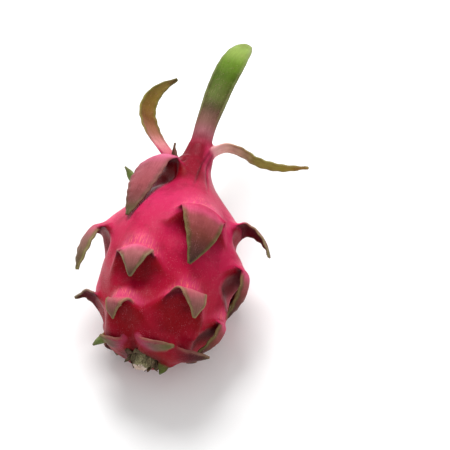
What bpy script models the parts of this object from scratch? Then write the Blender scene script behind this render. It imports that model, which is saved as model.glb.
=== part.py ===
"""A whole dragon fruit, as picked, lying on its side on a small flat spot.

Metres, +Z up. The origin is the middle of the flat spot. The fruit's axis runs along +Y, from the broad
end with the woody stub, at -Y, to the neck with its long bracts, at +Y, and rises a little on the way.

The shape is worked out in millimetres. A place on the fruit is given as (along, around, out): millimetres
along the axis from the stub end, degrees round the axis from the top towards +X, and millimetres out from
the axis.
"""

import math

import bmesh
import bpy
import numpy as np
from mathutils import Vector

MM = 0.001

# How the fruit lies: its axis rises towards the neck, and a thin slice is flattened where it rests.
TILT = math.radians(8.0)
FLAT_SPOT_DEPTH = 1.95
FLAT_SPOT_ALONG = 56.5

# The body's outline as (along, out), from the rim of the stub's socket to the top of the neck.
OUTLINE = ((0.4, 11), (1.5, 17), (5, 23), (14, 31), (35, 39.5), (60, 45.5), (85, 44.5), (107, 36.5),
           (124, 26.5), (137, 17.5), (148, 12.2), (160, 10.0), (168, 7.5))
NECK_TOP = 171.0
BODY_SIDES = 48
BODY_RINGS = 28

# The skin swells over each scale's root, more gently towards the neck, and is hollow under its hood. The
# swelling bows down at both sides of the root.
SWELLING = 6.0
SWELLING_LENGTH_AHEAD = 15.0
SWELLING_LENGTH_BEHIND = 7.0
SWELLING_BOW = 0.028
LOWEST_BOW = 12.0
SWELLING_SPREAD = 0.5
HOLLOW = 5.0
HOLLOW_LENGTH = 9.0
HOLLOW_BEHIND = 13.0

# The fruit's left side is flatter: by how much, where that is (along, around), and how far it reaches.
FLATTER_BY = 4.5
FLATTER_PLACE = (42.0, -90.0)
FLATTER_REACH = (26.0, 30.0)

# The woody stub, in its socket at the broad end. Its rings are (along, share of the radius, share of the
# cut end's slant) from its base, and its sides have ridges.
SOCKET_RADIUS = 9.8
SOCKET_FLOOR_RADIUS = 9.4
SOCKET_RIM = 0.7
SOCKET_DEPTH = 4.5
STUB_RADIUS = 8.2
STUB_GAP = 0.35
STUB_RINGS = ((0.0, 0.95, 0.0), (-3.0, 1.0, 0.0), (-7.2, 0.88, 0.5), (-9.0, 0.62, 1.0))
STUB_SLANT = 1.2
STUB_SIDES = 20
STUB_RIDGES = 5
STUB_RIDGE_SHARE = 0.05
STUB_OVAL_SHARE = 0.04

# A blade's outline: how much of its width it has at each share of its length.
OVATE = ((0, 1.25), (0.2, 1.12), (0.38, 1.0), (0.55, 0.88), (0.72, 0.62), (0.88, 0.3), (1, 0.05))
LEAF = ((0, 1.25), (0.2, 1.12), (0.38, 1.0), (0.55, 0.84), (0.72, 0.58), (0.88, 0.28), (1, 0.05))
BROAD = ((0, 0.9), (0.2, 0.9), (0.42, 1.0), (0.6, 0.9), (0.76, 0.62), (0.9, 0.3), (1, 0.05))
STRAP = ((0, 1.35), (0.25, 1.0), (0.6, 0.88), (0.82, 0.56), (1, 0.07))
SHORT = ((0, 0.7), (0.3, 1.0), (0.55, 0.86), (0.8, 0.48), (1, 0.06))
TONGUE = ((0, 1.0), (0.28, 0.76), (0.6, 1.0), (0.88, 1.0), (0.96, 0.8), (1, 0.5))

# A blade's thickness: thick at the root, thinner over the blade, least at its edges and tip.
ROOT_THICKNESS = 7.0
ROOT_WIDTH_SHARE = 0.28
ROOT_SHARE = 0.34
BLADE_THICKNESS = 2.4
TIP_THICKNESS = 1.3
EDGE_SHARE = 0.5
POINTS_ACROSS = 5
SECTION_SPACING = 6.5
FEWEST_SECTIONS = 9
SPINE_STEPS = 200

# How far a blade's edges bend down at each share of its length, how the bend grows from its middle to its
# edges, and how much of the blade follows the skin's curve.
DROOP = ((0, 0.7), (0.3, 1.0), (0.6, 0.7), (1, 0.2))
DROOP_POWER = 1.6
HUG_SHARE = 0.45

# How much of a bend's radius a blade may fill on the inside, and the rate of bending that counts as straight.
ROOM_IN_BEND = 0.8
STRAIGHT = 0.001

# How near the cut is to a point that counts as on it, and the shortest edge that is kept, in metres.
ON_THE_CUT = 1e-7
SHORTEST_EDGE = 2e-6
SHARP_ANGLE = math.radians(40)

SKIN_COLOUR = (0.60, 0.035, 0.11, 1)
STUB_COLOUR = (0.30, 0.22, 0.12, 1)

AXIS = np.array((0.0, math.cos(TILT), math.sin(TILT)))
TOP = np.array((0.0, -math.sin(TILT), math.cos(TILT)))
SIDE = np.array((1.0, 0.0, 0.0))


class Scale:
    """A scale of the skin, or a bract of the neck: a blade along a spine of (along, around, out) points.

    width is its full width, shape its outline and thick how much thicker than a plain blade it is. droop is
    how far its edges bend down from its middle, facing the angle round the fruit that it lies across, twist
    the turn of its root and of its tip about the spine in degrees, and swells how strongly the skin round its
    root swells.
    """

    def __init__(self, spine, width, shape=LEAF, droop=3.0, facing=None, twist=(0, 0), thick=1.0, swells=1.0):
        self.spine = spine
        self.width = width
        self.shape = shape
        self.droop = droop
        self.facing = spine[0][1] if facing is None else facing
        self.twist = twist
        self.thick = thick
        self.swells = swells


def hood(along, around, width, reach, lift, lean=0.0, droop=3.5):
    """A hooked scale that leaves the skin outwards and bends back towards the stub end."""
    spine = (
        (along - 4, around, outline_radius(along) - 6),
        (along + 2, around, outline_radius(along) + 0.25 * lift),
        (along + 1, around + 0.2 * lean, outline_radius(along) + 0.85 * lift),
        (along - 0.3 * reach, around + 0.5 * lean, outline_radius(along - 0.2 * reach) + lift),
        (along - 0.7 * reach, around + 0.8 * lean, outline_radius(along - 0.7 * reach) + 0.85 * lift),
        (along - reach, around + lean, outline_radius(along - reach) + 0.6 * lift),
    )
    return Scale(spine, width, droop=droop)


def spread(along, around, width, reach, lean=0.0, back=4.0):
    """A short bract that stands straight out from the skin near the stub."""
    radius = outline_radius(along)
    spine = (
        (along + 4, around, radius - 8),
        (along, around, radius),
        (along - back, around + 0.5 * lean, radius + 0.5 * reach),
        (along - 0.6 * back, around + lean, radius + reach),
    )
    return Scale(spine, width, SHORT, droop=-1.5, swells=0.3)


def outline_radius(along):
    stations = np.array(OUTLINE)
    return float(np.interp(along, stations[:, 0], stations[:, 1]))


def seen_scales():
    """The scales and bracts of the upper side, from the neck down to the stub."""
    return [
        # The thick green bract that rises from the neck and bends away at its blunt end.
        Scale(((142, 0, 1), (156, 0, 3), (169, 4, 5.5), (184, 7, 8.5), (198, 14, 10.5), (213, 20, 12.4),
               (234, 33, 14.5), (250, 50, 15), (259, 66, 16)),
              16.5, TONGUE, droop=-1.2, facing=0, thick=2.4, swells=0),
        # The long bract that sweeps up on the left and curls in at its tip.
        Scale(((140, -80, 6), (151, -88, 16), (162, -95, 26), (172, -95, 35), (183, -95, 42),
               (195, -95, 46.5), (208, -95, 45.5), (219, -95, 39), (226, -95, 31)),
              16.0, STRAP, droop=-2.5, facing=-140, swells=0),
        # The thin bract that arches out on the right.
        Scale(((142, 88, 3), (154, 88, 7), (165, 89, 10), (172, 90, 18), (171, 90, 28), (165, 90, 42),
               (163.5, 90, 58), (167.5, 90, 78)),
              8.5, STRAP, droop=-1.0, twist=(0, -25), swells=0),
        # The broad bract that arches over the left shoulder.
        Scale(((132, -48, 8), (143, -50, 14), (148.5, -50, 23), (142, -47, 33), (126, -44, 39),
               (106, -40, 43.5), (85, -37, 48)),
              26.0, BROAD, droop=3.0, twist=(0, -30), swells=0.8),
        # A small dried scale beside the neck.
        Scale(((142, -60, 9), (150, -60, 15), (157, -58, 19), (162, -54, 20)),
              7.0, droop=-1.0, swells=0),
        # The pair on the shoulder.
        Scale(((88, 28, 35), (94.5, 27, 43), (96, 26.5, 49), (89, 26.2, 54.5), (74, 26.8, 56.5),
               (61, 26, 54.3), (52.5, 24.8, 51.6)),
              29.0, OVATE, droop=4.0),
        Scale(((100, 85, 30), (106, 85, 39), (110, 85, 46), (107, 85, 54), (99, 85, 62), (89, 85, 67)),
              17.0, droop=2.5, swells=0.8),
        # The scales round the middle.
        Scale(((80, -74, 39), (86, -74, 48), (85, -75, 55), (77, -75, 59), (64, -75, 60), (50, -75, 59)),
              19.0, droop=3.0, twist=(0, -40)),
        Scale(((49, -17, 39), (56, -17, 46.5), (56, -16, 53), (49, -15.5, 55.5), (42, -16, 53),
               (36, -17, 48.7)),
              24.0, droop=4.5),
        Scale(((24, 36, 33), (32, 33, 41), (35.5, 33, 48), (34, 34, 53), (28, 37, 54), (20, 41, 48.5)),
              23.0, droop=2.2, facing=33),
        Scale(((32, -84, 33), (38, -84, 42), (39, -84, 48), (37, -85, 52), (34, -85, 55)),
              17.0, droop=2.5),
        Scale(((14, -24, 27), (21, -25, 34), (23.5, -27, 40), (21, -30, 43.5), (16.5, -32, 42),
               (11.9, -34, 37)),
              18.0, droop=2.0),
        # The short bracts that spread round the stub.
        Scale(((8, 2, 13), (2.5, 8, 16), (1, 22, 21), (2, 34, 26), (4, 42, 29.5)),
              21.0, SHORT, droop=-2.0, facing=71, swells=0.3),
        Scale(((9, -45, 14), (3, -48, 17.5), (1.5, -56, 23), (3.5, -63, 28), (6, -66, 32)),
              16.0, SHORT, droop=-2.0, facing=-80, swells=0.3),
        Scale(((15, -84, 19), (10, -86, 26), (7.5, -89, 30.5), (5, -92, 34.8)),
              15.0, SHORT, droop=-1.5, swells=0.3),
        Scale(((10, 58, 17), (4, 66, 21.5), (3, 72, 28), (5, 78, 36), (8, 83, 43)),
              20.0, SHORT, droop=-2.0, facing=93, swells=0.3),
        Scale(((6, 95, 15.5), (0.5, 95, 14.2), (-3, 97, 13.8), (-6, 100, 13)),
              8.0, SHORT, droop=0.6, facing=45, swells=0),
    ]


def hidden_scales():
    """The scales of the underside and the back, which keep the spiral of the upper side."""
    return [
        Scale(((142, 185, 5), (154, 186, 11), (166, 190, 16), (180, 192, 18), (194, 192, 15)),
              10.0, STRAP, droop=-1.5, facing=188, swells=0),
        Scale(((134, 165, 8), (144, 165, 15), (148, 165, 22), (143, 164, 29), (132, 163, 33),
               (120, 162, 36)),
              18.0, droop=2.5, swells=0.3),
        Scale(((118, -105, 24), (126, -104, 31), (133, -102, 38), (139, -99, 44), (146, -96, 50)),
              15.0, droop=-2.0, facing=-50, swells=1.4),
        hood(118, 140, 20, 30, 9),
        hood(112, -158, 19, 24, 6),
        hood(96, -122, 20, 32, 11),
        hood(86, 128, 22, 30, 9, lean=-4),
        hood(72, 84, 22, 32, 11, lean=5),
        hood(60, -126, 20, 24, 5),
        hood(52, 128, 20, 24, 7),
        hood(34, 92, 20, 24, 9),
        hood(30, -134, 18, 20, 6),
        spread(20, 132, 16, 7),
        spread(18, -126, 15, 7),
    ]


def place(along, around, out):
    """A place on the fruit in millimetres, the stub end's centre being the origin."""
    angle = math.radians(around)
    return along * AXIS + out * (math.cos(angle) * TOP + math.sin(angle) * SIDE)


def smooth_through(knots, values, wanted):
    """A smooth curve through values at knots, read at the wanted places."""
    knots = np.asarray(knots, float)
    values = np.asarray(values, float)
    slopes = np.gradient(values, knots, axis=0)
    index = np.clip(np.searchsorted(knots, wanted, side="right") - 1, 0, len(knots) - 2)
    span = knots[index + 1] - knots[index]
    share = (wanted - knots[index]) / span
    if values.ndim > 1:
        span = span[:, None]
        share = share[:, None]
    left = 1 - share
    start = (values[index] * (1 + 2 * share) + slopes[index] * span * share) * left**2
    end = (values[index + 1] * (1 + 2 * left) - slopes[index + 1] * span * left) * share**2
    return start + end


def unit(vectors):
    return vectors / np.linalg.norm(vectors, axis=-1, keepdims=True)


def spine_of(scale, count):
    """Points at even steps along a scale's spine, with the directions along, across and out of the blade."""
    knots = np.array([place(*point) for point in scale.spine])
    lengths = np.concatenate([[0], np.cumsum(np.linalg.norm(np.diff(knots, axis=0), axis=1))])
    fine = smooth_through(lengths, knots, np.linspace(0, lengths[-1], SPINE_STEPS))
    fine_lengths = np.concatenate([[0], np.cumsum(np.linalg.norm(np.diff(fine, axis=0), axis=1))])
    steps = np.linspace(0, fine_lengths[-1], count)
    centres = np.stack([np.interp(steps, fine_lengths, fine[:, axis]) for axis in range(3)], axis=1)
    forward = unit(np.gradient(centres, axis=0))
    facing = math.radians(scale.facing)
    around = math.cos(facing) * SIDE - math.sin(facing) * TOP
    across = unit(around - (forward @ around)[:, None] * forward)
    outward = np.cross(forward, across)
    turn = np.radians(np.linspace(scale.twist[0], scale.twist[1], count))[:, None]
    turned_across = np.cos(turn) * across + np.sin(turn) * outward
    turned_outward = np.cos(turn) * outward - np.sin(turn) * across
    return centres, forward, turned_across, turned_outward, fine_lengths[-1]


def blade_thickness(scale, share):
    root = np.clip(1 - share / ROOT_SHARE, 0, 1) ** 2
    blade = scale.thick * (BLADE_THICKNESS + (TIP_THICKNESS - BLADE_THICKNESS) * share)
    root_thickness = min(ROOT_THICKNESS, ROOT_WIDTH_SHARE * scale.width)
    return np.maximum(blade + (root_thickness - blade) * root, TIP_THICKNESS)


def room_inside_bends(centres, forward, across, outward):
    """How far a section may reach below and beside its spine before it crosses the next one in a bend."""
    steps = np.linalg.norm(np.gradient(centres, axis=0), axis=1)[:, None]
    bending = np.gradient(forward, axis=0) / steps
    rates = [(bending * direction).sum(axis=1) for direction in (-outward, -across, across)]
    return [ROOM_IN_BEND / np.maximum(rate, STRAIGHT) for rate in rates]


def section_points(scale, count, points_across):
    """Points of a scale's two faces: an array of [face, section, point across, xyz]."""
    centres, forward, across, outward, _ = spine_of(scale, count)
    share = np.linspace(0, 1, count)
    shape = np.array(scale.shape)
    half_width = 0.5 * scale.width * smooth_through(shape[:, 0], shape[:, 1], share)
    half_thickness = 0.5 * blade_thickness(scale, share)
    droop = scale.droop * np.interp(share, *np.transpose(DROOP))
    hug = np.clip(1 - share / HUG_SHARE, 0, 1) ** 2 / (2 * scale.spine[1][2])
    places = np.linspace(-1, 1, points_across)
    room_below, room_left, room_right = room_inside_bends(centres, forward, across, outward)
    sideways = np.clip(half_width[:, None] * places, -room_left[:, None], room_right[:, None])
    thickness = half_thickness[:, None] * (1 - (1 - EDGE_SHARE) * places**2)
    thickness = np.minimum(thickness, 0.5 * room_below[:, None])
    bend = np.maximum(-droop[:, None] * np.abs(places) ** DROOP_POWER, thickness - room_below[:, None])
    middle = centres[:, None] + sideways[..., None] * across[:, None] + bend[..., None] * outward[:, None]
    middle -= (hug[:, None] * sideways**2)[..., None] * forward[:, None]
    return np.array([middle + sign * thickness[..., None] * outward[:, None] for sign in (1, -1)])


def add_mesh_object(name, points, faces, material, collection):
    """An object from points in millimetres and lists of their numbers, with its faces turned outwards."""
    mesh = bpy.data.meshes.new(name)
    mesh.from_pydata([Vector(point) * MM for point in points], [], faces)
    shape = bmesh.new()
    shape.from_mesh(mesh)
    bmesh.ops.triangulate(shape, faces=[face for face in shape.faces if len(face.verts) > 3])
    bmesh.ops.recalc_face_normals(shape, faces=shape.faces)
    if shape.calc_volume(signed=True) < 0:
        bmesh.ops.reverse_faces(shape, faces=shape.faces)
    shape.to_mesh(mesh)
    shape.free()
    mesh.materials.append(material)
    obj = bpy.data.objects.new(name, mesh)
    collection.objects.link(obj)
    return obj


def scale_object(number, scale, material, collection):
    """A closed blade. Both faces are split into triangles alike, so that they can't cross."""
    length = spine_of(scale, 3)[-1]
    count = max(FEWEST_SECTIONS, round(length / SECTION_SPACING) + 1)
    points = section_points(scale, count, POINTS_ACROSS).reshape(-1, 3)

    def number_of(face, section, place_across):
        return (face * count + section) * POINTS_ACROSS + place_across

    faces = []
    for section in range(count - 1):
        for face in (0, 1):
            for column in range(POINTS_ACROSS - 1):
                corner = number_of(face, section, column)
                beside = number_of(face, section, column + 1)
                ahead = number_of(face, section + 1, column)
                opposite = number_of(face, section + 1, column + 1)
                faces.append((corner, beside, opposite))
                faces.append((corner, opposite, ahead))
        for column in (0, POINTS_ACROSS - 1):
            faces.append((number_of(0, section, column), number_of(1, section, column),
                          number_of(1, section + 1, column), number_of(0, section + 1, column)))
    for section in (0, count - 1):
        for column in range(POINTS_ACROSS - 1):
            faces.append((number_of(0, section, column), number_of(0, section, column + 1),
                          number_of(1, section, column + 1), number_of(1, section, column)))
    return add_mesh_object(f"scale_{number}", points, faces, material, collection)


def skin_relief(along, around, radius, scales):
    """How far the skin stands out of its plain outline: it swells over scales' roots, with hollows below."""
    beyond = (along - FLATTER_PLACE[0]) / FLATTER_REACH[0]
    aside = ((around - FLATTER_PLACE[1] + 180) % 360 - 180) / FLATTER_REACH[1]
    relief = -FLATTER_BY * math.exp(-(beyond**2) - aside**2)
    for scale in scales:
        root_along, root_around, _ = scale.spine[1]
        sideways = math.radians((around - root_around + 180) % 360 - 180) * radius
        beside = (sideways / (0.5 * scale.width)) ** 2
        ahead = along - root_along + min(SWELLING_BOW * sideways**2, LOWEST_BOW)
        length = SWELLING_LENGTH_AHEAD if ahead > 0 else SWELLING_LENGTH_BEHIND
        swelling = SWELLING * math.exp(-((ahead / length) ** 2) - SWELLING_SPREAD * beside)
        hollow = HOLLOW * math.exp(-(((ahead + HOLLOW_BEHIND) / HOLLOW_LENGTH) ** 2) - beside)
        relief += scale.swells * (swelling - hollow)
    return relief


def body_object(scales, material, collection):
    """The body: rings round the axis from the socket's floor to the top of the neck, closed at both ends."""
    outline = np.array(OUTLINE)
    lengths = np.concatenate([[0], np.cumsum(np.linalg.norm(np.diff(outline, axis=0), axis=1))])
    rings = smooth_through(lengths, outline, np.linspace(0, lengths[-1], BODY_RINGS))
    points = [place(SOCKET_DEPTH, 0, 0)]
    for along, radius in ((SOCKET_DEPTH, SOCKET_FLOOR_RADIUS), (SOCKET_RIM, SOCKET_RADIUS)):
        points += [place(along, 360 * side / BODY_SIDES, radius) for side in range(BODY_SIDES)]
    for along, radius in rings:
        for side in range(BODY_SIDES):
            around = 360 * side / BODY_SIDES
            points.append(place(along, around, radius + skin_relief(along, around, radius, scales)))
    points.append(place(NECK_TOP, 0, 0))
    ring_count = BODY_RINGS + 2
    faces = []
    for side in range(BODY_SIDES):
        next_side = (side + 1) % BODY_SIDES
        faces.append((0, 1 + side, 1 + next_side))
        for ring in range(ring_count - 1):
            start = 1 + ring * BODY_SIDES
            faces.append((start + side, start + BODY_SIDES + side,
                          start + BODY_SIDES + next_side, start + next_side))
        last = 1 + (ring_count - 1) * BODY_SIDES
        faces.append((last + side, len(points) - 1, last + next_side))
    return add_mesh_object("fruit", points, faces, material, collection)


def stub_object(material, collection):
    """The woody stub: a ridged, slightly oval plug with a chamfered, slanting cut end."""
    base = SOCKET_DEPTH - STUB_GAP
    points = []
    for step, share, slant in STUB_RINGS:
        for side in range(STUB_SIDES):
            angle = 2 * math.pi * side / STUB_SIDES
            ridges = 1 + STUB_RIDGE_SHARE * math.cos(STUB_RIDGES * angle)
            ridges += STUB_OVAL_SHARE * math.cos(2 * angle)
            along = base + step + STUB_SLANT * slant * math.cos(angle)
            points.append(place(along, math.degrees(angle), STUB_RADIUS * share * ridges))
    faces = [list(range(STUB_SIDES)), list(range(len(points) - STUB_SIDES, len(points)))]
    for ring in range(len(STUB_RINGS) - 1):
        for side in range(STUB_SIDES):
            next_side = (side + 1) % STUB_SIDES
            start = ring * STUB_SIDES
            faces.append((start + side, start + next_side,
                          start + STUB_SIDES + next_side, start + STUB_SIDES + side))
    return add_mesh_object("stem_stub", points, faces, material, collection)


def keep_largest_island(shape):
    """Drops every loose scrap and fills every sealed hollow by keeping only the largest connected surface."""
    unseen = set(shape.verts)
    islands = []
    while unseen:
        island = {unseen.pop()}
        front = list(island)
        while front:
            for edge in front.pop().link_edges:
                for vertex in edge.verts:
                    if vertex in unseen:
                        unseen.discard(vertex)
                        island.add(vertex)
                        front.append(vertex)
        islands.append(island)
    islands.sort(key=len)
    for island in islands[:-1]:
        bmesh.ops.delete(shape, geom=list(island), context="VERTS")


def fuse(body, scales):
    """Joins the scales to the body in one solid, by one Boolean union on their collection."""
    union = body.modifiers.new("scales", "BOOLEAN")
    union.operation = "UNION"
    union.operand_type = "COLLECTION"
    union.collection = scales
    union.solver = "EXACT"
    union.use_self = True
    graph = bpy.context.evaluated_depsgraph_get()
    fused = bpy.data.meshes.new_from_object(body.evaluated_get(graph))
    body.modifiers.clear()
    body.data = fused
    for scale in list(scales.objects):
        bpy.data.objects.remove(scale, do_unlink=True)
    bpy.data.collections.remove(scales)


def flatten_below_table(body):
    """Cuts away what would lie below the table, which leaves the flat spot that the fruit rests on."""
    shape = bmesh.new()
    shape.from_mesh(body.data)
    keep_largest_island(shape)
    everything = shape.verts[:] + shape.edges[:] + shape.faces[:]
    cut = bmesh.ops.bisect_plane(shape, geom=everything, dist=ON_THE_CUT, plane_co=(0, 0, 0),
                                 plane_no=(0, 0, -1), clear_outer=True)
    edges = [item for item in cut["geom_cut"] if isinstance(item, bmesh.types.BMEdge)]
    bmesh.ops.holes_fill(shape, edges=edges)
    bmesh.ops.triangulate(shape, faces=[face for face in shape.faces if len(face.verts) > 3])
    bmesh.ops.dissolve_degenerate(shape, dist=SHORTEST_EDGE, edges=shape.edges)
    shape.to_mesh(body.data)
    shape.free()


def set_on_table(obj):
    """Moves a mesh from the fruit's own frame so that the flat spot's middle is the origin."""
    lowest = outline_radius(FLAT_SPOT_ALONG) - FLAT_SPOT_DEPTH
    touch = place(FLAT_SPOT_ALONG, 180, lowest) * MM
    for vertex in obj.data.vertices:
        vertex.co -= Vector(touch)


def make_material(name, colour, roughness):
    material = bpy.data.materials.new(name)
    material.use_nodes = True
    shader = material.node_tree.nodes["Principled BSDF"]
    shader.inputs["Base Color"].default_value = colour
    shader.inputs["Roughness"].default_value = roughness
    shader.inputs["Metallic"].default_value = 0.0
    return material


def shade(obj):
    obj.data.shade_smooth()
    obj.data.set_sharp_from_angle(angle=SHARP_ANGLE)


def main():
    for obj in list(bpy.data.objects):
        bpy.data.objects.remove(obj, do_unlink=True)
    skin = make_material("skin", SKIN_COLOUR, 0.42)
    wood = make_material("stub_wood", STUB_COLOUR, 0.8)
    collection = bpy.context.scene.collection
    blades = bpy.data.collections.new("scales")
    collection.children.link(blades)
    scales = seen_scales() + hidden_scales()
    for number, scale in enumerate(scales):
        scale_object(number, scale, skin, blades)
    body = body_object(scales, skin, collection)
    fuse(body, blades)
    set_on_table(body)
    flatten_below_table(body)
    stub = stub_object(wood, collection)
    set_on_table(stub)
    shade(body)
    shade(stub)


if __name__ == "__main__":
    main()
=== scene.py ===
"""The looks of a whole dragon fruit lying on its side.

The fruit's skin and scales are made as one closed surface round a distance field, in millimetres and in
the fruit's own frame: a place is (along, around, out), which is millimetres along the axis from the stub
end, degrees round it from the top towards +X, and millimetres out from it. The colours follow from the
same shapes.
"""

import itertools
import math
from typing import NamedTuple

import bpy
import numpy as np
from mathutils import Matrix, Vector

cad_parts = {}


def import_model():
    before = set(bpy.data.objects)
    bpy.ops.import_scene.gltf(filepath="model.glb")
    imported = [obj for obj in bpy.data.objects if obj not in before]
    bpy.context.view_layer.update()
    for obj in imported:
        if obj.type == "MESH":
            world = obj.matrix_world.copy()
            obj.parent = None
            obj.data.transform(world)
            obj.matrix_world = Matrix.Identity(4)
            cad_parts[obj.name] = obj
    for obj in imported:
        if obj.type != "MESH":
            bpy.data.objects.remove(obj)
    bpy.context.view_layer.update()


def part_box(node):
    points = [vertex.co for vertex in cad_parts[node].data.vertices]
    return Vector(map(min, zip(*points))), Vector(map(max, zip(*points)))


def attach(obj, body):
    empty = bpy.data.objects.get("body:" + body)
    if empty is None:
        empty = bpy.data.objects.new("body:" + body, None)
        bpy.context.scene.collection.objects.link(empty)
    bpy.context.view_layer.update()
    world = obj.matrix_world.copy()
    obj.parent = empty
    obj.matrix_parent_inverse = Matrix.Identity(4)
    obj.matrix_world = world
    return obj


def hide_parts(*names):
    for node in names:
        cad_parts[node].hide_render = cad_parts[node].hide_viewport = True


MM = 0.001

# The fruit's place, as in the solids.
TILT = math.radians(8.0)
FLAT_SPOT_DEPTH = 1.95
FLAT_SPOT_ALONG = 56.5
OUTLINE = ((0.4, 11), (1.5, 17), (5, 23), (14, 31), (35, 39.5), (60, 45.5), (85, 44.5), (107, 36.5),
           (124, 26.5), (137, 17.5), (148, 12.2), (160, 10.0), (168, 7.5))
NECK_TOP = 171.0
SOCKET_RADIUS = 9.8
SOCKET_FLOOR_RADIUS = 9.4
SOCKET_RIM = 0.7
SOCKET_DEPTH = 4.5

# Swellings over the scales' roots, which bow down at their sides, and hollows under the hoods.
SWELLING = 6.0
SWELLING_LENGTH_AHEAD = 15.0
SWELLING_LENGTH_BEHIND = 7.0
SWELLING_BOW = 0.028
SWELLING_SPREAD = 0.5
LOWEST_BOW = 12.0
HOLLOW = 5.0
HOLLOW_LENGTH = 9.0
HOLLOW_BEHIND = 13.0

# The fruit's left side is flatter: by how much, where that is (along, around), and how far it reaches.
FLATTER_BY = 4.5
FLATTER_PLACE = (42.0, -90.0)
FLATTER_REACH = (26.0, 30.0)

# How much of its width a blade has at each share of its length.
OVATE = ((0, 1.25), (0.2, 1.12), (0.38, 1.0), (0.55, 0.88), (0.72, 0.62), (0.88, 0.3), (1, 0.05))
LEAF = ((0, 1.25), (0.2, 1.12), (0.38, 1.0), (0.55, 0.84), (0.72, 0.58), (0.88, 0.28), (1, 0.05))
BROAD = ((0, 0.9), (0.2, 0.9), (0.42, 1.0), (0.6, 0.9), (0.76, 0.62), (0.9, 0.3), (1, 0.05))
STRAP = ((0, 1.35), (0.25, 1.0), (0.6, 0.88), (0.82, 0.56), (1, 0.07))
SHORT = ((0, 0.7), (0.3, 1.0), (0.55, 0.86), (0.8, 0.48), (1, 0.06))
TONGUE = ((0, 1.0), (0.28, 0.76), (0.6, 1.0), (0.88, 1.0), (0.96, 0.8), (1, 0.5))

ROOT_THICKNESS = 7.0
ROOT_WIDTH_SHARE = 0.28
ROOT_SHARE = 0.34
BLADE_THICKNESS = 2.4
TIP_THICKNESS = 1.3
EDGE_SHARE = 0.5
LEAST_HALF_THICKNESS = 0.72
DROOP = ((0, 0.7), (0.3, 1.0), (0.6, 0.7), (1, 0.2))
DROOP_POWER = 1.6
HUG_SHARE = 0.45
DEEPER_ROOT = 8.0

# The distance field's grid, and the round fillets where scales leave the skin.
STEP = 0.66
BLOCK = 8
FAR = 10.0
ROOT_FILLET = 5.5
TIP_FILLET = 1.0
FILLET_ENDS = (0.24, 0.5)
MOST_TRIANGLES = 190000

# Each round of settling the surface: how far its points are evened out, how far they may shift, and
# whether they go by the exact distance or by the grid's.
SETTLING = ((0.5, 0.4, False), (0.5, 0.4, False), (0.4, 0.3, False), (0.35, 0.2, True), (0.3, 0.2, True),
            (0.25, 0.2, True), (0.15, 0.15, True))

# Furrows of the neck, between the long bracts' bases, as (along, around) places; they are cut into the skin
# and painted dark as shade.
CREASES = (((168, 62), (160, 46), (150, 31), (138, 22), (116, 12)),
           ((166, 78), (158, 62), (146, 50), (134, 43), (118, 34)),
           ((152, -20), (141, -27), (130, -26), (116, -20)))
CREASE_DEPTH = 0.9
CREASE_WIDTH = 0.9

AXIS = np.array((0.0, math.cos(TILT), math.sin(TILT)))
TOP = np.array((0.0, -math.sin(TILT), math.cos(TILT)))
SIDE = np.array((1.0, 0.0, 0.0))

# The skin's colour by millimetres along the fruit, darker towards the stub end (partly its own tone and
# partly painted shade) and at the neck; the painted highlight on its crests, the painted shade in its
# hollows, and its colour round the stub.
SKIN_ALONG = ((0, 0.30, 0.003, 0.018), (14, 0.38, 0.004, 0.022), (44, 0.46, 0.005, 0.036),
              (68, 0.57, 0.010, 0.068), (104, 0.68, 0.025, 0.122), (122, 0.58, 0.015, 0.082),
              (136, 0.30, 0.004, 0.022), (171, 0.26, 0.006, 0.024))
CREST_HIGHLIGHT_COLOUR = (0.92, 0.085, 0.25)
HOLLOW_SHADE_COLOUR = (0.27, 0.002, 0.006)
# Painted shade for the undersides of drooping blades.
UNDERSIDE_SHADE_COLOUR = (0.11, 0.001, 0.005)
NECK_SIDE_COLOUR = (0.56, 0.030, 0.105)
# A dark brown rim round the stub's socket, partly painted shade of the groove beside the stub.
RIM_OF_SOCKET_COLOUR = (0.10, 0.014, 0.012)
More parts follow.
